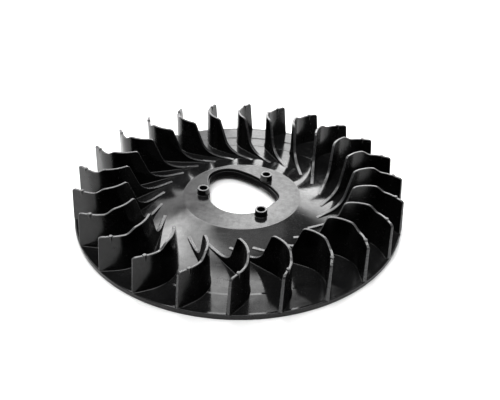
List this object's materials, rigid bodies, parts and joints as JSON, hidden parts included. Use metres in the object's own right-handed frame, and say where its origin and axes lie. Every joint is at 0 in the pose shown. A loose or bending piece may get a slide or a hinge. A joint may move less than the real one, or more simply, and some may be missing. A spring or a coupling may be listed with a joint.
{
  "type": "flywheel cooling fan",
  "caption": "Black moulded centrifugal fan for a small engine's flywheel: a dished disc with curved upright vanes, a shaped hub opening and three screw bosses.",
  "frame": {"origin": "on the spin axis, in the plane that the rim stands on", "axes": "+Z along the spin axis towards the vanes' free edges; -Y is the side nearest the viewer in the source view"},
  "size_m": [0.24, 0.24, 0.0326],
  "materials": {
    "black_plastic": "semi-gloss moulded, glass-filled nylon"
  },
  "bodies": {
    "root": {"hub_plate": "black_plastic", "eye_wall": "black_plastic", "dish_web_inner": "black_plastic", "dish_web_outer": "black_plastic", "inner_flange": "black_plastic", "outer_flange": "black_plastic", "rim": "black_plastic", "boss_1": "black_plastic", "boss_2": "black_plastic", "boss_3": "black_plastic", "vane_01": "black_plastic", "vane_02": "black_plastic", "vane_03": "black_plastic", "vane_04": "black_plastic", "vane_05": "black_plastic", "vane_06": "black_plastic", "vane_07": "black_plastic", "vane_08": "black_plastic", "vane_09": "black_plastic", "vane_10": "black_plastic", "vane_11": "black_plastic", "vane_12": "black_plastic", "vane_13": "black_plastic", "vane_14": "black_plastic", "vane_15": "black_plastic", "vane_16": "black_plastic", "vane_17": "black_plastic", "vane_18": "black_plastic", "vane_19": "black_plastic", "vane_20": "black_plastic", "vane_21": "black_plastic", "vane_22": "black_plastic", "vane_23": "black_plastic", "vane_24": "black_plastic"}
  },
  "joints": []
}
